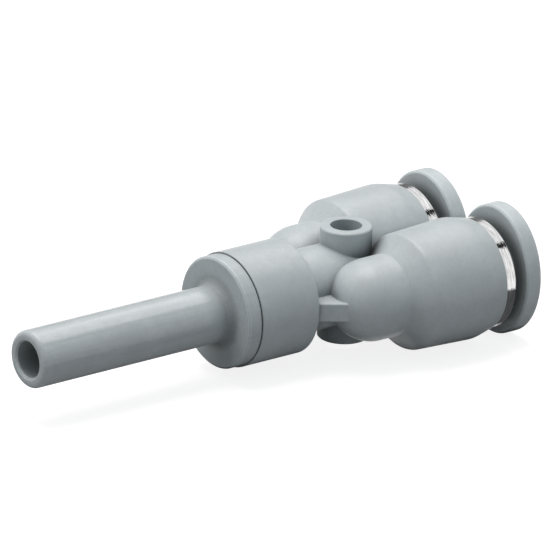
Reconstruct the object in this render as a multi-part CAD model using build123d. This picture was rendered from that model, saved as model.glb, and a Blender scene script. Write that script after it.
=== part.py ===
from build123d import *

import math
import os

# Plug-in Y connector for 6 mm tube, in millimetres.
# The origin is the centre of the mounting hole on the mid-plane of the body.
# +Z runs up the mounting hole, +X points to the two tube ports, and the plug stem points along -X.

# Tube that the ports take, and that the stem stands in for
TUBE_R = 3.0
TUBE_WALL = 1.1

# Body moulding, outside
PORT_PITCH = 11.8
DOME_PITCH = 11.5
COLLAR_FRONT_X = -15.05
COLLAR_LENGTH = 7.35
COLLAR_R = 6.0
COLLAR_BEVEL = 0.25
NECK_R = 4.3
DOME_CENTRE_X = -1.2
DOME_R = 4.3
DOME_END_X = 1.6
CONE_X = 0.3
CONE_R = 3.6
SHOULDER_X = 2.9
SHOULDER_R = 6.1
SHOULDER_ROUND = 0.7
BELLY_X = 9.8
BELLY_R = 6.41
BELLY_ROUND = 3.0
MOUTH_X = 11.9
MOUTH_R = 5.93
WEB_THICKNESS = 2.05
WEB_MIDDLE_Z = -0.18
WEB_START_Y = 5.5
WEB_END = (-4.0, 8.1)
WEB_EDGE_BEVEL = 0.15

# Mounting hole and its boss
HOLE_R = 1.65
BOSS_R = 2.7
BOSS_HEIGHT = 12.1
BOSS_BEVEL = 0.15

# Flow passages from the stem socket to the two ports
THROAT_END_X = -4.9
BRANCH_R = 1.25
BRANCH_END_X = -0.9
CHANNEL_START_X = -2.6

# Stem and its socket in the collar
STEM_LENGTH = 23.7
TIP_ROUND = 0.55
TIP_BORE_BEVEL = 0.2
ROOT_FILLET = 0.7
RING_R = 5.85
RING_THICKNESS = 1.55
RING_BEVEL = 0.2
RING_GAP = 0.1
SOCKET_DEPTH = 5.8
SOCKET_R = 4.0
SPIGOT_CLEARANCE = 0.06
SPIGOT_END_GAP = 0.15
SNAP_HEIGHT = 0.28
SNAP_WIDTH = 0.6
SNAP_FROM_END = 0.35
SNAP_SIDE_GAP = 0.12
STEM_SEAL_WIDTH = 1.5
STEM_SEAL_FLOOR_R = 2.95
STEM_SEAL_GAP = 0.03
STEM_SEAL_CORNER = 0.3
STEM_SEAL_FROM_RING = 1.6

# Port, from the tube stop outwards
STOP_X = 2.2
TUBE_CLEARANCE = 0.05
TUBE_SEAT_LENGTH = 3.0
SEAL_LENGTH = 2.3
SEAL_R = 4.6
SEAL_BITE = 0.15
SEAL_LIP_DEPTH = 1.1
CARTRIDGE_R = 5.2
COLLET_LENGTH = 1.4
COLLET_TUBE_CLEARANCE = 0.35
TEETH_BACK_ROOM = 0.2

# Grab ring of thin spring sheet
GRAB_SHEET = 0.25
TOOTH_ROOT_R = 4.45
TOOTH_BITE = 0.13
TOOTH_DEPTH = 1.0
TOOTH_COUNT = 10
TOOTH_SLOT = 0.5
TOOTH_SLOT_R = 4.15

# Metal guide pressed in the mouth
GUIDE_LIP_R = 5.8
GUIDE_LIP_LENGTH = 1.3
GUIDE_LIP_BEVEL = 0.12
GUIDE_BORE_R = 4.45
GUIDE_LEDGE = 1.5

# Release ring
RELEASE_TRAVEL = 1.2
RELEASE_MARGIN = 0.25
NOSE_CLEARANCE = 0.1
SLEEVE_R = 3.9
SLEEVE_CLEARANCE = 0.1
SLEEVE_TUBE_CLEARANCE = 0.25
BEAD_R = 4.3
BEAD_LENGTH = 0.95
BEAD_CLEARANCE = 0.1
BEAD_SLOPE = 0.35
NOSE_SLOTS = 4
NOSE_SLOT_WIDTH = 0.6
NOSE_SLOT_LENGTH = 2.6
FLANGE_HALF_WIDTH = 5.82
FLANGE_HALF_HEIGHT = 6.88
FLANGE_THICKNESS = 1.85
FLANGE_BEVEL = 0.2
FLANGE_LEAD_IN = 0.5

# Places that follow from the sizes above
CHANNEL_R = TUBE_R - TUBE_WALL
PORT_Y = PORT_PITCH / 2
DOME_Y = DOME_PITCH / 2
COLLAR_BACK_X = COLLAR_FRONT_X + COLLAR_LENGTH
SOCKET_END_X = COLLAR_FRONT_X + SOCKET_DEPTH
RING_BACK_X = COLLAR_FRONT_X - RING_GAP
RING_FRONT_X = RING_BACK_X - RING_THICKNESS
STEM_TIP_X = RING_FRONT_X - STEM_LENGTH
SPIGOT_R = SOCKET_R - SPIGOT_CLEARANCE
SPIGOT_END_X = SOCKET_END_X - SPIGOT_END_GAP
SNAP_END_X = SPIGOT_END_X - SNAP_FROM_END
SNAP_START_X = SNAP_END_X - SNAP_WIDTH
STEM_SEAL_START_X = RING_BACK_X + STEM_SEAL_FROM_RING
STEM_SEAL_END_X = STEM_SEAL_START_X + STEM_SEAL_WIDTH
SEAL_X = STOP_X + TUBE_SEAT_LENGTH
COLLET_X = SEAL_X + SEAL_LENGTH
GRAB_X = COLLET_X + COLLET_LENGTH
GUIDE_X = GRAB_X + GRAB_SHEET
GUIDE_END_X = MOUTH_X + GUIDE_LIP_LENGTH
LEDGE_X = GUIDE_END_X - GUIDE_LEDGE
FLANGE_X = GUIDE_END_X + RELEASE_TRAVEL + RELEASE_MARGIN
TOOTH_TIP_R = TUBE_R - TOOTH_BITE
TOOTH_SLOPE = TOOTH_DEPTH / (TOOTH_ROOT_R - TOOTH_TIP_R)
TOOTH_SHEET_X = GRAB_SHEET * math.hypot(1, TOOTH_SLOPE)


def tooth_face_x(radius):
    """Place along the port of the teeth's outward face at a radius, where they stand unflexed."""
    return GUIDE_X - TOOTH_SLOPE * (TOOTH_ROOT_R - radius)


NOSE_X = tooth_face_x(SLEEVE_R) + NOSE_CLEARANCE + RELEASE_TRAVEL


def turned(outline):
    """Solid turned about the X axis from a closed outline of (place along X, radius)."""
    return revolve(make_face(outline), Axis.X)


def turned_points(*points):
    """Solid turned about the X axis from the corners of its half section."""
    return turned(Polyline(*points, close=True))


def rod(start_x, end_x, radius):
    """Round bar along the X axis."""
    return turned_points((start_x, 0), (end_x, 0), (end_x, radius), (start_x, radius))


def dome():
    """Round end of one port: half a ball on a short length that runs into the barrel's cone."""
    ball = CenterArc((DOME_CENTRE_X, 0), DOME_R, 90, 90)
    rest = Polyline(
        (DOME_CENTRE_X - DOME_R, 0),
        (DOME_END_X, 0),
        (DOME_END_X, DOME_R),
        (DOME_CENTRE_X, DOME_R),
    )
    return turned([*ball.edges(), *rest.edges()])


def barrel():
    """Outside of one port: a cone up to the shoulder, and a belly that narrows to the mouth."""
    side = FilletPolyline(
        (CONE_X, CONE_R),
        (SHOULDER_X, SHOULDER_R),
        (BELLY_X, BELLY_R),
        (MOUTH_X, MOUTH_R),
        radius=[SHOULDER_ROUND, BELLY_ROUND],
    )
    rest = Polyline((MOUTH_X, MOUTH_R), (MOUTH_X, 0), (CONE_X, 0), (CONE_X, CONE_R))
    return turned([*side.edges(), *rest.edges()])


def collar():
    """Plain collar that holds the stem, with a bevelled back edge."""
    return turned_points(
        (COLLAR_FRONT_X, 0),
        (COLLAR_BACK_X, 0),
        (COLLAR_BACK_X, COLLAR_R - COLLAR_BEVEL),
        (COLLAR_BACK_X - COLLAR_BEVEL, COLLAR_R),
        (COLLAR_FRONT_X, COLLAR_R),
    )


def webs():
    """Flat rib a little below mid-height, from the collar's back to both domes."""
    half = [(COLLAR_BACK_X, WEB_START_Y), WEB_END, (DOME_CENTRE_X, DOME_Y)]
    mirrored = [(x, -y) for x, y in reversed(half)]
    rib = extrude(make_face(Polyline(*half, *mirrored, close=True)), WEB_THICKNESS / 2, both=True)
    slanted = [edge for edge in rib.edges() if edge.center().X < WEB_END[0] and abs(edge.tangent_at(0.5).Y) > 0.1]
    outer = [edge for edge in slanted if abs(edge.center().Y) > 1]
    return Pos(0, 0, WEB_MIDDLE_Z) * chamfer(outer, WEB_EDGE_BEVEL)


def boss():
    """Round boss of the mounting hole, standing out above and below."""
    post = Cylinder(BOSS_R, BOSS_HEIGHT)
    return chamfer(post.edges().filter_by(GeomType.CIRCLE), BOSS_BEVEL)


def stem_socket():
    """Hollow of the collar for the spigot, with the groove that its snap bead sits in."""
    groove_r = SOCKET_R + SNAP_HEIGHT
    return (
        rod(COLLAR_FRONT_X, SOCKET_END_X, SOCKET_R)
        + rod(SNAP_START_X - SNAP_SIDE_GAP, SNAP_END_X + SNAP_SIDE_GAP, groove_r)
        + rod(SOCKET_END_X, THROAT_END_X, CHANNEL_R)
    )


def branch(side):
    """Slanting passage from the throat past the mounting hole into one port's channel."""
    start = Vector(THROAT_END_X, 0, 0)
    run = Vector(BRANCH_END_X, side * PORT_Y, 0) - start
    along = Plane(origin=start, z_dir=run)
    return along * Cylinder(BRANCH_R, run.length, align=(Align.CENTER, Align.CENTER, Align.MIN))


def port_hollow():
    """Stepped hollow of one port: channel, tube seat, seal pocket and cartridge bore."""
    return (
        rod(CHANNEL_START_X, STOP_X, CHANNEL_R)
        + rod(STOP_X, SEAL_X, TUBE_R + TUBE_CLEARANCE)
        + rod(SEAL_X, COLLET_X, SEAL_R)
        + rod(COLLET_X, MOUTH_X, CARTRIDGE_R)
    )


def body():
    """Grey moulding in one piece, with its sockets, passages and mounting hole."""
    shape = collar() + rod(COLLAR_BACK_X, 0, NECK_R) + webs() + boss()
    for side in (1, -1):
        shape += Pos(0, side * DOME_Y, 0) * dome()
        shape += Pos(0, side * PORT_Y, 0) * barrel()
    shape -= stem_socket()
    for side in (1, -1):
        shape -= Pos(0, side * PORT_Y, 0) * port_hollow()
        shape -= branch(side)
    return shape - Cylinder(HOLE_R, BOSS_HEIGHT)


def stem_tip():
    """Outline of the stem from its bore round the tip to the ring's outer edge."""
    return FilletPolyline(
        (STEM_TIP_X + TIP_BORE_BEVEL, CHANNEL_R),
        (STEM_TIP_X, CHANNEL_R + TIP_BORE_BEVEL),
        (STEM_TIP_X, TUBE_R),
        (RING_FRONT_X, TUBE_R),
        (RING_FRONT_X, RING_R - RING_BEVEL),
        (RING_FRONT_X + RING_BEVEL, RING_R),
        radius=[0, TIP_ROUND, ROOT_FILLET, 0],
    )


def spigot():
    """Outline of the stem from its ring's outer edge over the seal groove and snap bead to its bore."""
    snap_r = SPIGOT_R + SNAP_HEIGHT - SPIGOT_CLEARANCE
    return Polyline(
        (RING_FRONT_X + RING_BEVEL, RING_R),
        (RING_BACK_X, RING_R),
        (RING_BACK_X, SPIGOT_R),
        (STEM_SEAL_START_X, SPIGOT_R),
        (STEM_SEAL_START_X, STEM_SEAL_FLOOR_R),
        (STEM_SEAL_END_X, STEM_SEAL_FLOOR_R),
        (STEM_SEAL_END_X, SPIGOT_R),
        (SNAP_START_X, SPIGOT_R),
        (SNAP_START_X, snap_r),
        (SNAP_START_X + SNAP_WIDTH / 3, snap_r),
        (SNAP_END_X, SPIGOT_R),
        (SPIGOT_END_X, SPIGOT_R),
        (SPIGOT_END_X, CHANNEL_R),
        (STEM_TIP_X + TIP_BORE_BEVEL, CHANNEL_R),
    )


def stem():
    """Plug stem with its ring and the spigot that snaps into the collar, one turned piece."""
    return turned([*stem_tip().edges(), *spigot().edges()])


def stem_seal():
    """O-ring in the spigot's groove, flattened where it is squeezed by the groove's floor and the socket."""
    outer_r = SOCKET_R - STEM_SEAL_GAP
    return turned_points(
        (STEM_SEAL_START_X + STEM_SEAL_CORNER, STEM_SEAL_FLOOR_R),
        (STEM_SEAL_END_X - STEM_SEAL_CORNER, STEM_SEAL_FLOOR_R),
        (STEM_SEAL_END_X, STEM_SEAL_FLOOR_R + STEM_SEAL_CORNER),
        (STEM_SEAL_END_X, outer_r - STEM_SEAL_CORNER),
        (STEM_SEAL_END_X - STEM_SEAL_CORNER, outer_r),
        (STEM_SEAL_START_X + STEM_SEAL_CORNER, outer_r),
        (STEM_SEAL_START_X, outer_r - STEM_SEAL_CORNER),
        (STEM_SEAL_START_X, STEM_SEAL_FLOOR_R + STEM_SEAL_CORNER),
    )


def seal():
    """Lip seal of one port, with its V groove open towards the pressure."""
    lip_r = TUBE_R - SEAL_BITE
    groove_r = (SEAL_R + lip_r) / 2
    wall = (SEAL_R - lip_r) / 4
    return turned_points(
        (SEAL_X, lip_r),
        (SEAL_X, groove_r - wall),
        (SEAL_X + SEAL_LIP_DEPTH, groove_r),
        (SEAL_X, groove_r + wall),
        (SEAL_X, SEAL_R),
        (COLLET_X, SEAL_R),
        (COLLET_X, TUBE_R + TUBE_CLEARANCE),
        (SEAL_X + SEAL_LIP_DEPTH, lip_r),
    )


def collet():
    """Plastic ring that holds the seal in its pocket and backs the grab ring's rim."""
    bore_r = TUBE_R + COLLET_TUBE_CLEARANCE
    back_x = tooth_face_x(bore_r) - TOOTH_SHEET_X - TEETH_BACK_ROOM
    cone_r = bore_r + (GRAB_X - back_x) / TOOTH_SLOPE
    return turned_points(
        (COLLET_X, bore_r),
        (back_x, bore_r),
        (GRAB_X, cone_r),
        (GRAB_X, CARTRIDGE_R),
        (COLLET_X, CARTRIDGE_R),
    )


def grab_ring():
    """Spring-steel ring with a flat rim and teeth that lean inwards to bite the tube."""
    back_tip_x = tooth_face_x(TOOTH_TIP_R) - TOOTH_SHEET_X
    back_root_r = TOOTH_TIP_R + (GRAB_X - back_tip_x) / TOOTH_SLOPE
    ring = turned_points(
        (GUIDE_X, CARTRIDGE_R),
        (GUIDE_X, TOOTH_ROOT_R),
        (tooth_face_x(TOOTH_TIP_R), TOOTH_TIP_R),
        (back_tip_x, TOOTH_TIP_R),
        (GRAB_X, back_root_r),
        (GRAB_X, CARTRIDGE_R),
    )
    slot_length = GUIDE_X - back_tip_x + GRAB_SHEET
    slot = Pos(GUIDE_X, 0, TOOTH_SLOT_R / 2) * Box(2 * slot_length, TOOTH_SLOT, TOOTH_SLOT_R)
    for number in range(TOOTH_COUNT):
        ring -= Rot(360 * number / TOOTH_COUNT, 0, 0) * slot
    return ring


def guide():
    """Plated metal sleeve pressed in the mouth, whose ledge keeps the release ring in."""
    return turned_points(
        (GUIDE_X, CARTRIDGE_R),
        (MOUTH_X, CARTRIDGE_R),
        (MOUTH_X, GUIDE_LIP_R),
        (GUIDE_END_X - GUIDE_LIP_BEVEL, GUIDE_LIP_R),
        (GUIDE_END_X, GUIDE_LIP_R - GUIDE_LIP_BEVEL),
        (GUIDE_END_X, SLEEVE_R + SLEEVE_CLEARANCE),
        (LEDGE_X, SLEEVE_R + SLEEVE_CLEARANCE),
        (LEDGE_X, GUIDE_BORE_R),
        (GUIDE_X, GUIDE_BORE_R),
    )


def release_sleeve():
    """Round sleeve of the release ring, with the bead that stops behind the guide's ledge."""
    bore_r = TUBE_R + SLEEVE_TUBE_CLEARANCE
    bead_end_x = LEDGE_X - BEAD_CLEARANCE
    bead_start_x = bead_end_x - BEAD_LENGTH
    sleeve = turned_points(
        (NOSE_X, bore_r),
        (FLANGE_X, bore_r),
        (FLANGE_X, SLEEVE_R),
        (bead_end_x, SLEEVE_R),
        (bead_end_x, BEAD_R),
        (bead_start_x + BEAD_SLOPE, BEAD_R),
        (bead_start_x, SLEEVE_R),
        (NOSE_X, SLEEVE_R),
    )
    slot = Pos(NOSE_X, 0, 0) * Box(2 * NOSE_SLOT_LENGTH, NOSE_SLOT_WIDTH, 3 * SLEEVE_R)
    for number in range(NOSE_SLOTS // 2):
        sleeve -= Rot(360 * number / NOSE_SLOTS, 0, 0) * slot
    return sleeve


def release_ring():
    """Oval push ring that frees the tube: a flange taller than it is wide, on a round sleeve."""
    oval = Plane.YZ.offset(FLANGE_X) * Ellipse(FLANGE_HALF_WIDTH, FLANGE_HALF_HEIGHT)
    flange = extrude(oval, FLANGE_THICKNESS)
    flange = chamfer(flange.edges(), FLANGE_BEVEL)
    flange_end_x = FLANGE_X + FLANGE_THICKNESS
    bore_r = TUBE_R + SLEEVE_TUBE_CLEARANCE
    opening = turned_points(
        (FLANGE_X, 0),
        (FLANGE_X, bore_r),
        (flange_end_x - FLANGE_LEAD_IN, bore_r),
        (flange_end_x, bore_r + FLANGE_LEAD_IN),
        (flange_end_x, 0),
    )
    return flange - opening + release_sleeve()


def main():
    port_pieces = {
        "seal": seal(),
        "collet": collet(),
        "grab_ring": grab_ring(),
        "guide": guide(),
        "release_ring": release_ring(),
    }
    pieces = {"body": body(), "stem": stem(), "stem_seal": stem_seal()}
    for side, sign in (("left", 1), ("right", -1)):
        for name, piece in port_pieces.items():
            pieces[f"{side}_{name}"] = Pos(0, sign * PORT_Y, 0) * piece
    os.makedirs("parts", exist_ok=True)
    for name, piece in pieces.items():
        export_step(piece, f"parts/{name}.step")


main()
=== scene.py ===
import bpy
import math
from mathutils import Matrix, Vector


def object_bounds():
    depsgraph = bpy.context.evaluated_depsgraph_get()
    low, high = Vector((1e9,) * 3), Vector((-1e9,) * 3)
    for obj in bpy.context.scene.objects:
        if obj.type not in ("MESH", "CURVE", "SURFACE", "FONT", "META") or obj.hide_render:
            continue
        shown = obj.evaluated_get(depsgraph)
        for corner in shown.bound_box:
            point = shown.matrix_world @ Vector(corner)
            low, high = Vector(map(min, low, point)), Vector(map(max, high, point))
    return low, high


# Plug-in Y connector for 6 mm tube: camera, materials, stage and light, in metres.

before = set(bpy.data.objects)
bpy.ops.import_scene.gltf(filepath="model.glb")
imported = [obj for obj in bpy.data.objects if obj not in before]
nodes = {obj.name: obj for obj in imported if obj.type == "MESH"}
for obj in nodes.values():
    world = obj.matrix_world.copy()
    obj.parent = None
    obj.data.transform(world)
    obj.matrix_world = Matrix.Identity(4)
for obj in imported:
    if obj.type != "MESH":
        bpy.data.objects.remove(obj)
cad_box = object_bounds()
MM = 0.001


# Camera, fitted to the photograph. The offsets move it along its own axes.
PHOTO_PX = 555
SENSOR_WIDTH_MM = 36
AZIMUTH = math.radians(-38.125)
ELEVATION = math.radians(20.871)
ROLL = math.radians(1.5665)
DISTANCE = 1.2582
PX_PER_M = 9773.9
OFFSET_RIGHT = -6.8687 * MM
OFFSET_UP = 0.2774 * MM


def placed(place, right, up, back):
    """Transform of a camera or lamp at a place, from its own three axes."""
    turn = Matrix((right, up, back)).transposed()
    return Matrix.Translation(place) @ turn.to_4x4()


def make_camera():
    """Long lens far from the part, at the photograph's angle and scale."""
    back = Vector((
        math.sin(AZIMUTH) * math.cos(ELEVATION),
        -math.cos(AZIMUTH) * math.cos(ELEVATION),
        math.sin(ELEVATION),
    ))
    level_right = Vector((math.cos(AZIMUTH), math.sin(AZIMUTH), 0))
    level_up = back.cross(level_right)
    right = math.cos(ROLL) * level_right + math.sin(ROLL) * level_up
    up = -math.sin(ROLL) * level_right + math.cos(ROLL) * level_up
    place = right * OFFSET_RIGHT + up * OFFSET_UP + back * DISTANCE
    data = bpy.data.cameras.new("camera")
    data.sensor_width = SENSOR_WIDTH_MM
    data.lens = PX_PER_M * DISTANCE / PHOTO_PX * SENSOR_WIDTH_MM
    data.clip_start = 0.05
    data.clip_end = 20
    camera = bpy.data.objects.new("camera", data)
    camera.matrix_world = placed(place, right, up, back)
    bpy.context.scene.collection.objects.link(camera)
    bpy.context.scene.camera = camera


# Small helpers for node trees
def tree_of(name):
    """New node material, its tree, and the main shader in it."""
    material = bpy.data.materials.new(name)
    material.use_nodes = True
    tree = material.node_tree
    return material, tree, tree.nodes["Principled BSDF"]


def add(tree, kind, **values):
    """New node; values set its inputs by name, and its properties where no input has the name."""
    node = tree.nodes.new(kind)
    for key, value in values.items():
        name = key.replace("_", " ")
        if name in node.inputs:
            node.inputs[name].default_value = value
        else:
            setattr(node, key, value)
    return node


def link(tree, source, target):
    tree.links.new(source, target)


def object_place(tree):
    """Place in the part's own frame, in metres."""
    return add(tree, "ShaderNodeTexCoord").outputs["Object"]


def noise(tree, vector, scale, detail=2.0, roughness=0.5):
    """Noise between 0 and 1; scale is in features per metre."""
    node = add(tree, "ShaderNodeTexNoise", Scale=scale, Detail=detail, Roughness=roughness)
    link(tree, vector, node.inputs["Vector"])
    return node.outputs["Fac"]


def ranged(tree, value, low=0.0, high=1.0, from_low=0.0, from_high=1.0):
    """value mapped from one range to the range low to high, and held inside it."""
    node = tree.nodes.new("ShaderNodeMapRange")
    for index, number in enumerate((from_low, from_high, low, high), start=1):
        node.inputs[index].default_value = number
    link(tree, value, node.inputs[0])
    return node.outputs[0]


def math_node(tree, operation, first, second):
    """Result of an operation on two number outputs."""
    node = add(tree, "ShaderNodeMath", operation=operation)
    for socket, value in zip(node.inputs, (first, second)):
        link(tree, value, socket)
    return node.outputs[0]


def vector_node(tree, operation, vector, constant=None):
    """Vector math node on a vector output, with a constant for its second input."""
    node = add(tree, "ShaderNodeVectorMath", operation=operation)
    link(tree, vector, node.inputs[0])
    if constant is not None:
        node.inputs[1].default_value = constant
    return node


def mixed(tree, factor, first, second):
    """Colour between two colours or colour outputs."""
    node = add(tree, "ShaderNodeMix", data_type="RGBA")
    link(tree, factor, node.inputs["Factor"])
    for socket, value in zip((node.inputs[6], node.inputs[7]), (first, second)):
        if isinstance(value, tuple):
            socket.default_value = (*value, 1)
        else:
            link(tree, value, socket)
    return node.outputs[2]


def number_mixed(tree, factor, first, second):
    """Number between two number outputs."""
    node = add(tree, "ShaderNodeMix", data_type="FLOAT")
    link(tree, factor, node.inputs[0])
    link(tree, first, node.inputs[2])
    link(tree, second, node.inputs[3])
    return node.outputs[0]


def bumped(tree, height, distance, strength, normal=None):
    """Normal bent by a height map, over another normal where one is given."""
    node = add(tree, "ShaderNodeBump", Distance=distance, Strength=strength)
    link(tree, height, node.inputs["Height"])
    if normal is not None:
        link(tree, normal, node.inputs["Normal"])
    return node.outputs["Normal"]


def stretched(tree, place, shares):
    """Place with each axis scaled, so that noise on it runs out into strokes."""
    stretch = add(tree, "ShaderNodeMapping")
    stretch.inputs["Scale"].default_value = shares
    link(tree, place, stretch.inputs["Vector"])
    return stretch.outputs["Vector"]


def shaded(colour, factor):
    """Colour lighter or darker by a factor."""
    return tuple(channel * factor for channel in colour)


def spotted(tree, base, spots, dark, most, span):
    """base, and towards dark where the spots' noise is high: by most from the span's end on."""
    return mixed(tree, ranged(tree, spots, 0, most, *span), base, dark)


def soft_edges(tree, radius):
    """(rounded normal, mask that is 1 on an edge and 0 on a plain face)."""
    bevel = add(tree, "ShaderNodeBevel", samples=6, Radius=radius)
    geometry = add(tree, "ShaderNodeNewGeometry")
    likeness = vector_node(tree, "DOT_PRODUCT", bevel.outputs["Normal"])
    link(tree, geometry.outputs["Normal"], likeness.inputs[1])
    mask = ranged(tree, likeness.outputs["Value"], 1, 0, from_low=0.86, from_high=0.99)
    return bevel.outputs["Normal"], mask


def open_sky(tree, reach):
    """Share of its surroundings, out to reach, that a point sees free of other faces."""
    return add(tree, "ShaderNodeAmbientOcclusion", samples=8, Distance=reach).outputs["AO"]


# Moulded plastic. Painted shade darkens the colour in crevices, and dust roughens them.
GREY = (0.475, 0.532, 0.551)
NATURAL = (0.75, 0.75, 0.72)
CREVICE_PAINTED_SHADE = 0.15
DUST_ROUGHNESS = 0.4
RUBBED_SMOOTHER = 0.08
ROUGHNESS_SPREAD = 0.05

# The stem is polished up to its ring, fades to matt before it, and has painted shade in its bore.
STEM_R = 3.0 * MM
STEM_RING_X = -16.7 * MM
POLISH_FADE = 3 * MM
MATT_RISE = 0.22
BORE_SKY_RANGE = (0.5, 0.95)
# Painted shade in the corner at the stem's root: where it starts, how far it reaches, and its
# darkest share.
CORNER_INSET = 0.2 * MM
CORNER_REACH = 1.0 * MM
CORNER_UNSHADED_SHARE = 0.55


def moulded_colour(tree, place, clouds, flecks, colour):
    """Slow clouds of lighter and darker plastic, with darker flecks and smaller specks."""
    specks = noise(tree, place, 5200, detail=2, roughness=0.7)
    cloudy = ranged(tree, clouds, from_low=0.3, from_high=0.7)
    clouded = mixed(tree, cloudy, shaded(colour, 0.95), shaded(colour, 1.06))
    flecked = spotted(tree, clouded, flecks, shaded(colour, 0.86), most=0.6, span=(0.45, 0.75))
    return spotted(tree, flecked, specks, shaded(colour, 0.87), most=0.6, span=(0.4, 0.7))


def streaked(tree, place, base, colour):
    """Faint streaks along X, left by drawing the stem out of its mould."""
    streaks = noise(tree, stretched(tree, place, (0.03, 1, 1)), 2600, detail=3, roughness=0.6)
    return spotted(tree, base, streaks, shaded(colour, 0.84), most=0.7, span=(0.5, 0.75))


def along_x(tree, place):
    """X of a place."""
    parts = add(tree, "ShaderNodeSeparateXYZ")
    link(tree, place, parts.inputs[0])
    return parts.outputs["X"]


def past_stem(tree, place):
    """0 along the polished stem, and 1 from its ring on."""
    return ranged(tree, along_x(tree, place), 0, 1, STEM_RING_X - POLISH_FADE, STEM_RING_X)


def root_corner_shade(tree, place):
    """Unshaded share at the corner where the stem meets its ring, with painted shade gathered
    there.
    """
    off_axis = vector_node(tree, "MULTIPLY", place, (0, 1, 1))
    radius = vector_node(tree, "LENGTH", off_axis.outputs["Vector"])
    profile = add(tree, "ShaderNodeCombineXYZ")
    link(tree, along_x(tree, place), profile.inputs["X"])
    link(tree, radius.outputs["Value"], profile.inputs["Y"])
    corner = (STEM_RING_X - CORNER_INSET, STEM_R + CORNER_INSET, 0)
    away = vector_node(tree, "DISTANCE", profile.outputs[0], corner)
    return ranged(tree, away.outputs["Value"], CORNER_UNSHADED_SHARE, 1, CORNER_INSET, CORNER_REACH)


def stem_unshaded_share(tree, place, sky, ring_unshaded, matt):
    """Unshaded share: painted shade in the bore and in the corner at the stem's root, none on the
    plain polished stem.
    """
    bore_unshaded = ranged(tree, sky, 0, 1, *BORE_SKY_RANGE)
    either = number_mixed(tree, matt, bore_unshaded, ring_unshaded)
    return math_node(tree, "MINIMUM", either, root_corner_shade(tree, place))


def moulded_plastic(
    name, colour, roughness, edge_radius, reach, sky_range=(0.2, 0.8), edge_highlight_and_wear=0.2, is_stem=False
):
    """Moulded plastic with grain and mottling, lighter on its edges and darker in crevices.

    The lighter edges are painted highlight with some wear, and the darker crevices are painted
    shade. reach and sky_range say how wide the painted shade in crevices spreads, and a further
    factor how much lighter the edges are.
    """
    material, tree, shader = tree_of(name)
    place = object_place(tree)
    clouds = noise(tree, place, 260, detail=3)
    flecks = noise(tree, place, 1100, detail=4, roughness=0.6)
    grain = noise(tree, place, 9000, detail=3, roughness=0.65)
    normal, edge = soft_edges(tree, edge_radius)
    sky = open_sky(tree, reach)
    unshaded_dust_free = ranged(tree, sky, 0, 1, *sky_range)
    base = moulded_colour(tree, place, clouds, flecks, colour)
    least, most = roughness - ROUGHNESS_SPREAD, roughness + ROUGHNESS_SPREAD
    rough = ranged(tree, flecks, least, most, from_low=0.3, from_high=0.7)
    if is_stem:
        matt = past_stem(tree, place)
        unshaded_dust_free = stem_unshaded_share(tree, place, sky, unshaded_dust_free, matt)
        base = streaked(tree, place, base, colour)
        rough = math_node(tree, "ADD", rough, ranged(tree, matt, 0, MATT_RISE))
    # Painted highlight with some wear: every soft edge is lighter in colour.
    edge_highlit_worn = mixed(tree, edge, base, shaded(colour, 1 + edge_highlight_and_wear))
    # Painted shade: the colour darkens where a point sees little of its surroundings.
    crevice_shaded = mixed(tree, unshaded_dust_free, shaded(colour, CREVICE_PAINTED_SHADE), edge_highlit_worn)
    link(tree, crevice_shaded, shader.inputs["Base Color"])
    dusty = math_node(tree, "ADD", rough, ranged(tree, unshaded_dust_free, DUST_ROUGHNESS, 0))
    worn = math_node(tree, "SUBTRACT", dusty, ranged(tree, edge, 0, RUBBED_SMOOTHER))
    link(tree, worn, shader.inputs["Roughness"])
    wavy = bumped(tree, clouds, distance=0.02 * MM, strength=0.5, normal=normal)
    grainy = bumped(tree, grain, distance=0.004 * MM, strength=0.6, normal=wavy)
    link(tree, grainy, shader.inputs["Normal"])
    shader.inputs["IOR"].default_value = 1.45
    shader.inputs["Specular IOR Level"].default_value = 0.4
    return material


# Metals and rubber
def turned_metal(name, colour, roughness):
    """Plated metal with short brushed strokes round the port's axis over a slight waviness."""
    material, tree, shader = tree_of(name)
    place = object_place(tree)
    strokes = noise(tree, stretched(tree, place, (1, 0.08, 0.08)), 7000, detail=3, roughness=0.8)
    waves = noise(tree, stretched(tree, place, (1, 0.3, 0.3)), 5000)
    cloud = noise(tree, place, 700, detail=3)
    normal, edge = soft_edges(tree, 0.08 * MM)
    bright = ranged(tree, strokes, from_low=0.35, from_high=0.6)
    tint = mixed(tree, bright, shaded(colour, 0.62), colour)
    link(tree, mixed(tree, edge, tint, shaded(colour, 1.1)), shader.inputs["Base Color"])
    rough = ranged(tree, cloud, roughness - 0.04, roughness + 0.06, from_low=0.3, from_high=0.7)
    link(tree, rough, shader.inputs["Roughness"])
    wavy = bumped(tree, waves, distance=0.03 * MM, strength=0.8, normal=normal)
    brushed = bumped(tree, strokes, distance=0.006 * MM, strength=0.5, normal=wavy)
    link(tree, brushed, shader.inputs["Normal"])
    shader.inputs["Metallic"].default_value = 1
    return material


def sheet_metal(name, colour, roughness):
    """Rolled spring sheet: a faint cloud and small scratches."""
    material, tree, shader = tree_of(name)
    place = object_place(tree)
    cloud = noise(tree, place, 1200, detail=4)
    scratches = noise(tree, place, 20000)
    bright = ranged(tree, cloud, from_low=0.3, from_high=0.7)
    tint = mixed(tree, bright, shaded(colour, 0.85), colour)
    link(tree, tint, shader.inputs["Base Color"])
    rough = ranged(tree, cloud, roughness - 0.06, roughness + 0.06, from_low=0.3, from_high=0.7)
    link(tree, rough, shader.inputs["Roughness"])
    scratched = bumped(tree, scratches, distance=0.003 * MM, strength=0.5)
    link(tree, scratched, shader.inputs["Normal"])
    shader.inputs["Metallic"].default_value = 1
    return material


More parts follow.
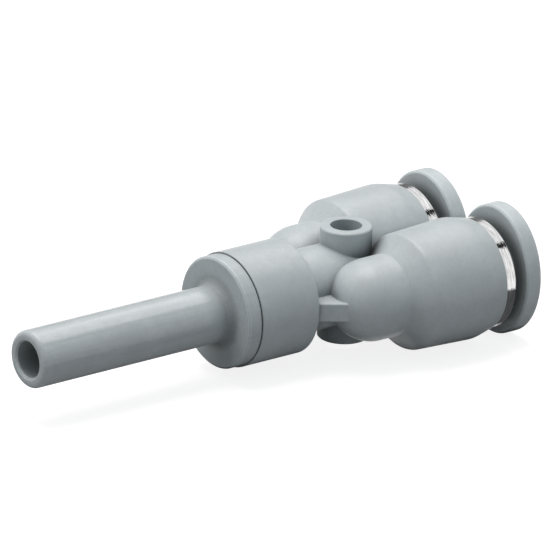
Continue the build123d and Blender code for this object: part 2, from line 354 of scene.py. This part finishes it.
def rubber(name, colour):
    """Moulded black rubber with a dusty bloom."""
    material, tree, shader = tree_of(name)
    place = object_place(tree)
    bloom = noise(tree, place, 900, detail=4)
    grain = noise(tree, place, 12000)
    bloomed = ranged(tree, bloom, from_low=0.4, from_high=0.8)
    link(tree, mixed(tree, bloomed, colour, shaded(colour, 2)), shader.inputs["Base Color"])
    rough = ranged(tree, bloom, 0.55, 0.75, from_low=0.3, from_high=0.7)
    link(tree, rough, shader.inputs["Roughness"])
    grainy = bumped(tree, grain, distance=0.004 * MM, strength=0.5)
    link(tree, grainy, shader.inputs["Normal"])
    return material


def finishes():
    """Material of each CAD node."""
    black = rubber("seal_rubber", (0.03, 0.03, 0.03))
    spring = sheet_metal("spring_steel", (0.62, 0.62, 0.61), roughness=0.28)
    plated = turned_metal("plated_metal", (0.88, 0.88, 0.88), roughness=0.1)
    natural = moulded_plastic(
        "collet_natural", NATURAL, roughness=0.4, edge_radius=0.05 * MM, reach=2 * MM
    )
    # Painted light: the release ring is 10% lighter than the body grey, standing in for light on
    # its side from the right.
    ring_grey_painted_lit = moulded_plastic(
        "release_grey_painted_lit", shaded(GREY, 1.1), roughness=0.42, edge_radius=0.32 * MM, reach=2 * MM,
        sky_range=(0.3, 0.85), edge_highlight_and_wear=0.35,
    )
    body_grey = moulded_plastic(
        "body_grey", GREY, roughness=0.36, edge_radius=0.18 * MM, reach=2.6 * MM
    )
    stem_grey = moulded_plastic(
        "stem_grey", GREY, roughness=0.14, edge_radius=0.28 * MM, reach=3 * MM,
        sky_range=(0.3, 0.8), edge_highlight_and_wear=0.5, is_stem=True,
    )
    found = {"body": body_grey, "stem": stem_grey, "stem_seal": black}
    for side in ("left", "right"):
        found[f"{side}_seal"] = black
        found[f"{side}_collet"] = natural
        found[f"{side}_grab_ring"] = spring
        found[f"{side}_guide"] = plated
        found[f"{side}_release_ring"] = ring_grey_painted_lit
    return found


def dress():
    """Gives each CAD node its material."""
    for name, material in finishes().items():
        node = nodes[name]
        if not node.material_slots:
            node.data.materials.append(material)
        for slot in node.material_slots:
            slot.material = material


# Stage. Glows and the world's light are shares of white.
FLOOR_REACH = 4.0
FLOOR_GREY = 0.32
FLOOR_GLOW = 0.72
FLOOR_GLOW_SEEN = 0.84
WORLD_LIGHT = 0.3
COOL = (0.93, 1.0, 1.05)
WARM = (1.06, 0.99, 0.96)
PLAIN = (1.0, 1.0, 1.0)


def background_share(tree):
    """1 for rays that show the background: from the camera, off gloss, or through glass."""
    path = add(tree, "ShaderNodeLightPath").outputs
    seen = math_node(tree, "MAXIMUM", path["Is Camera Ray"], path["Is Glossy Ray"])
    return math_node(tree, "MAXIMUM", seen, path["Is Transmission Ray"])


def floor_glow(tree):
    """Strength of the floor's own light, more where it is seen directly, for a faint shadow."""
    path = add(tree, "ShaderNodeLightPath").outputs
    level = ranged(tree, path["Is Camera Ray"], FLOOR_GLOW, FLOOR_GLOW_SEEN)
    return math_node(tree, "MULTIPLY", background_share(tree), level)


def flat_piece(name, corners):
    """(object, tree with only an output) for one flat face of the stage."""
    mesh = bpy.data.meshes.new(name)
    mesh.from_pydata(corners, [], [range(len(corners))])
    piece = bpy.data.objects.new(name, mesh)
    bpy.context.scene.collection.objects.link(piece)
    material, tree, shader = tree_of(name)
    tree.nodes.remove(shader)
    mesh.materials.append(material)
    return piece, tree


def make_floor():
    """Floor of a grey that takes shadows, with a glow that lifts it to white where it is lit."""
    signs = ((-1, -1), (1, -1), (1, 1), (-1, 1))
    height = cad_box[0][2]
    corners = [(FLOOR_REACH * x, FLOOR_REACH * y, height) for x, y in signs]
    floor, tree = flat_piece("floor", corners)
    plain = add(tree, "ShaderNodeBsdfDiffuse", Color=(FLOOR_GREY, FLOOR_GREY, FLOOR_GREY, 1))
    glow = add(tree, "ShaderNodeEmission", Color=(*PLAIN, 1))
    link(tree, floor_glow(tree), glow.inputs["Strength"])
    both = add(tree, "ShaderNodeAddShader")
    link(tree, plain.outputs[0], both.inputs[0])
    link(tree, glow.outputs[0], both.inputs[1])
    link(tree, both.outputs[0], tree.nodes["Material Output"].inputs["Surface"])
    return floor


def make_world():
    """Even surroundings: white where they are seen, and a dim cool light on dull faces."""
    world = bpy.data.worlds.new("world")
    bpy.context.scene.world = world
    world.use_nodes = True
    tree = world.node_tree
    background = tree.nodes["Background"]
    share = background_share(tree)
    link(tree, mixed(tree, share, COOL, PLAIN), background.inputs["Color"])
    link(tree, ranged(tree, share, WORLD_LIGHT, 1), background.inputs["Strength"])


# Cards. Outlines on the floor are (x, y), and the other cards stand CARD_DISTANCE off.
CARD_DISTANCE = 0.6
CARD_LIFT = 0.05 * MM
BLACK = (0.02, 0.02, 0.02)
DARK_GREY = (0.08, 0.081, 0.084)
DULL_GREY = (0.2, 0.2, 0.2)
GROUND_CARD = (
    (-0.25, -0.024), (0.6, -0.024), (0.6, -0.008), (-0.002, -0.008), (-0.002, 0.03), (-0.25, 0.03),
)
GROUND_CARD_BORDER = ((-0.25, -0.0265), (0.6, -0.0265), (0.6, -0.024), (-0.25, -0.024))
GAP_CARD_HALF_LENGTH = 0.4
GAP_CARD_HALF_WIDTH = 0.055


def make_card(name, corners, colour):
    """Dark card that shows only in reflections, as a studio's card does beside bright metal."""
    card, tree = flat_piece(name, corners)
    dark = add(tree, "ShaderNodeEmission", Color=(*colour, 1))
    link(tree, dark.outputs[0], tree.nodes["Material Output"].inputs["Surface"])
    card.visible_camera = False
    card.visible_diffuse = False
    card.visible_transmission = False
    card.visible_shadow = False


def lying_card(name, outline, colour):
    """Card on the floor."""
    height = cad_box[0][2] + CARD_LIFT
    make_card(name, [(x, y, height) for x, y in outline], colour)


def standing_card(name, direction, half_along, half_across, colour):
    """Card far off in one direction, from its half sides."""
    middle = Vector(direction) * CARD_DISTANCE
    along = Vector(half_along)
    across = Vector(half_across)
    near, far = middle - across, middle + across
    make_card(name, [near - along, near + along, far + along, far - along], colour)


def make_cards():
    """Cards that the photograph's reflections show: on the floor, above, and low behind."""
    lying_card("ground_card", GROUND_CARD, DARK_GREY)
    lying_card("ground_card_border", GROUND_CARD_BORDER, BLACK)
    above = Vector((0.574, -0.301, 0.761))
    along = Vector((0.82, 0.18, -0.54)) * GAP_CARD_HALF_LENGTH
    across = above.cross(along).normalized() * GAP_CARD_HALF_WIDTH
    standing_card("gap_card", above, along, across, BLACK)
    standing_card(
        "back_card", (0.574, 0.76, 0.26), half_along=(0.228, -0.172, 0), half_across=(0, 0, 0.14),
        colour=DULL_GREY,
    )


# Light
LAMP_DISTANCE = 0.7
LAMPS = (
    # name, direction, long axis, size, level, colour
    ("overhead", (0, 0.22, 1), (1, 0, 0), (0.5, 0.5), 0.86, WARM),
    ("strip", (0.574, 0.166, 0.802), (0, 0.979, -0.203), (0.6, 0.14), 0.125, WARM),
    ("left", (-0.8, 0.4, 0.6), (0, 1, 0), (0.6, 0.6), 0.25, WARM),
    ("right", (0.3, -0.9, 0.1), (1, 0, 0), (0.6, 0.6), 0.085, PLAIN),
)


def lit_by_lamps(floor):
    """All but the bright metal rings, which would clip to white in a lamp's reflection."""
    lit = bpy.data.collections.new("lit")
    for item in (*nodes.values(), floor):
        if not item.name.endswith("guide"):
            lit.objects.link(item)
    return lit


def softbox(name, direction, long_axis, size, level, colour, lit):
    """Oblong area light aimed at the part; level is its light on a face turned to it."""
    data = bpy.data.lights.new(name, "AREA")
    data.shape = "RECTANGLE"
    data.size, data.size_y = size
    data.energy = level * (math.pi * LAMP_DISTANCE) ** 2
    data.color = colour
    away = Vector(direction).normalized()
    across = away.cross(Vector(long_axis)).normalized()
    lamp = bpy.data.objects.new(name, data)
    lamp.matrix_world = placed(away * LAMP_DISTANCE, across.cross(away), across, away)
    lamp.light_linking.receiver_collection = lit
    bpy.context.scene.collection.objects.link(lamp)


def make_lamps(floor):
    """Soft light from above and the left, a narrow strip for the stem's band, and a weak fill."""
    lit = lit_by_lamps(floor)
    for lamp in LAMPS:
        softbox(*lamp, lit)


def write_sizes():
    """Brings the view layer up to date."""
    bpy.context.view_layer.update()


def main():
    make_camera()
    dress()
    floor = make_floor()
    make_world()
    make_cards()
    make_lamps(floor)
    bpy.context.scene.view_settings.view_transform = "Standard"
    write_sizes()


main()
